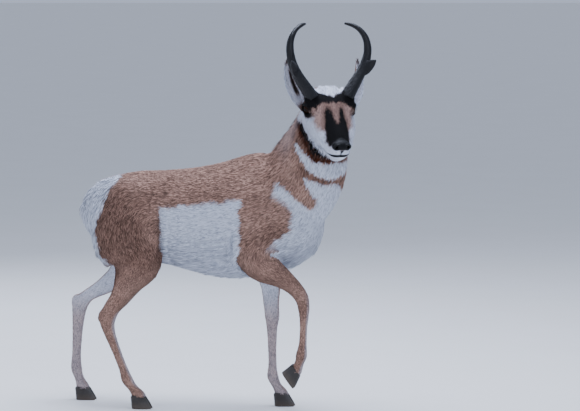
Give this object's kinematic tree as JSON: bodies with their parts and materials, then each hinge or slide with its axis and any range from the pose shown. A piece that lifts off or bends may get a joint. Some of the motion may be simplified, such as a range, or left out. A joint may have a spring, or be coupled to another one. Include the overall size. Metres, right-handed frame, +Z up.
{
  "type": "pronghorn buck, walking",
  "caption": "Life-size still model of a pronghorn buck mid-stride, one forefoot lifted and the head turned to its right.",
  "frame": {"origin": "middle of the animal's box at floor level, under its belly", "axes": "+X the way the animal walks, +Y its left side, +Z up; the head looks towards -Y"},
  "size_m": [1.1168, 0.4034, 1.3396],
  "materials": {
    "coat_tan": "short tan hair",
    "coat_brown": "short brown hair",
    "coat_white": "long white hair",
    "coat_face": "very short dark and white hair",
    "coat_ear": "short fine hair",
    "horn": "satin black horn",
    "hoof": "dull dark horn",
    "eye": "wet dark brown"
  },
  "bodies": {
    "root": {"torso": "coat_tan", "neck": "coat_tan", "head": "coat_face", "rump": "coat_white", "tail": "coat_white", "leg_front_right": "coat_brown", "leg_front_left": "coat_brown", "leg_hind_right": "coat_brown", "leg_hind_left": "coat_brown", "ear_right": "coat_ear", "ear_left": "coat_ear", "horn_right": "horn", "horn_left": "horn", "eye_right": "eye", "eye_left": "eye", "hoof_front_right_claw_outer": "hoof", "hoof_front_right_claw_inner": "hoof", "hoof_front_left_claw_outer": "hoof", "hoof_front_left_claw_inner": "hoof", "hoof_hind_right_claw_outer": "hoof", "hoof_hind_right_claw_inner": "hoof", "hoof_hind_left_claw_outer": "hoof", "hoof_hind_left_claw_inner": "hoof"}
  },
  "joints": []
}
